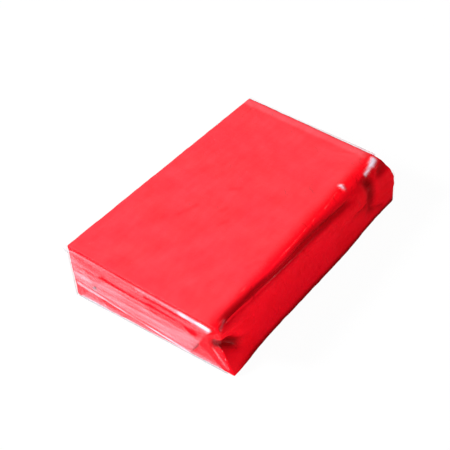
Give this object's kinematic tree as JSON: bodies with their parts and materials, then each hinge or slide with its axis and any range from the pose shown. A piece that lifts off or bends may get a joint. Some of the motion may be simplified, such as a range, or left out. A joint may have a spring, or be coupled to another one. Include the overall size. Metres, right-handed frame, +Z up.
{
  "type": "clay bar",
  "caption": "Flat block of detailing clay wrapped in clear film, with envelope folds at both ends that open on their creases.",
  "frame": {"origin": "centre of the base, on the surface that the bar lies on", "axes": "+Y along the bar's length to its rear end, +X to its right side, +Z up through its thickness"},
  "size_m": [0.061, 0.0932, 0.0215],
  "materials": {
    "clay": "soft kneadable clay, satin",
    "film": "clear glossy wrapping film, slightly hazy"
  },
  "bodies": {
    "bar": {"clay_block": "clay", "film_sleeve": "film"},
    "front_upper": {"front_upper_flap": "film"},
    "front_lower": {"front_lower_flap": "film"},
    "front_left": {"front_left_tuck": "film"},
    "front_right": {"front_right_tuck": "film"},
    "rear_upper": {"rear_upper_flap": "film"},
    "rear_lower": {"rear_lower_flap": "film"},
    "rear_left": {"rear_left_tuck": "film"},
    "rear_right": {"rear_right_tuck": "film"}
  },
  "joints": [
    {"name": "front_upper_crease", "type": "hinge", "parent": "bar", "child": "front_upper", "pos_m": [0, -0.0465, 0.0214], "axis": [-1, 0, 0], "range_deg": [0, 180]},
    {"name": "front_lower_crease", "type": "hinge", "parent": "bar", "child": "front_lower", "pos_m": [0, -0.0455, 0.0001], "axis": [1, 0, 0], "range_deg": [0, 90]},
    {"name": "front_left_crease", "type": "hinge", "parent": "bar", "child": "front_left", "pos_m": [-0.0304, -0.046, 0.011], "axis": [0, 0, -1], "range_deg": [0, 90]},
    {"name": "front_right_crease", "type": "hinge", "parent": "bar", "child": "front_right", "pos_m": [0.0304, -0.046, 0.011], "axis": [0, 0, 1], "range_deg": [0, 90]},
    {"name": "rear_upper_crease", "type": "hinge", "parent": "bar", "child": "rear_upper", "pos_m": [0, 0.0465, 0.0214], "axis": [1, 0, 0], "range_deg": [0, 180]},
    {"name": "rear_lower_crease", "type": "hinge", "parent": "bar", "child": "rear_lower", "pos_m": [0, 0.0455, 0.0001], "axis": [-1, 0, 0], "range_deg": [0, 90]},
    {"name": "rear_left_crease", "type": "hinge", "parent": "bar", "child": "rear_left", "pos_m": [-0.0304, 0.046, 0.011], "axis": [0, 0, 1], "range_deg": [0, 90]},
    {"name": "rear_right_crease", "type": "hinge", "parent": "bar", "child": "rear_right", "pos_m": [0.0304, 0.046, 0.011], "axis": [0, 0, -1], "range_deg": [0, 90]}
  ],
  "couplings": [
    {"joint": "front_lower_crease", "follows": "front_upper_crease", "ratio": 0.5},
    {"joint": "front_left_crease", "follows": "front_upper_crease", "ratio": 0.5},
    {"joint": "front_right_crease", "follows": "front_upper_crease", "ratio": 0.5},
    {"joint": "rear_lower_crease", "follows": "rear_upper_crease", "ratio": 0.5},
    {"joint": "rear_left_crease", "follows": "rear_upper_crease", "ratio": 0.5},
    {"joint": "rear_right_crease", "follows": "rear_upper_crease", "ratio": 0.5}
  ]
}
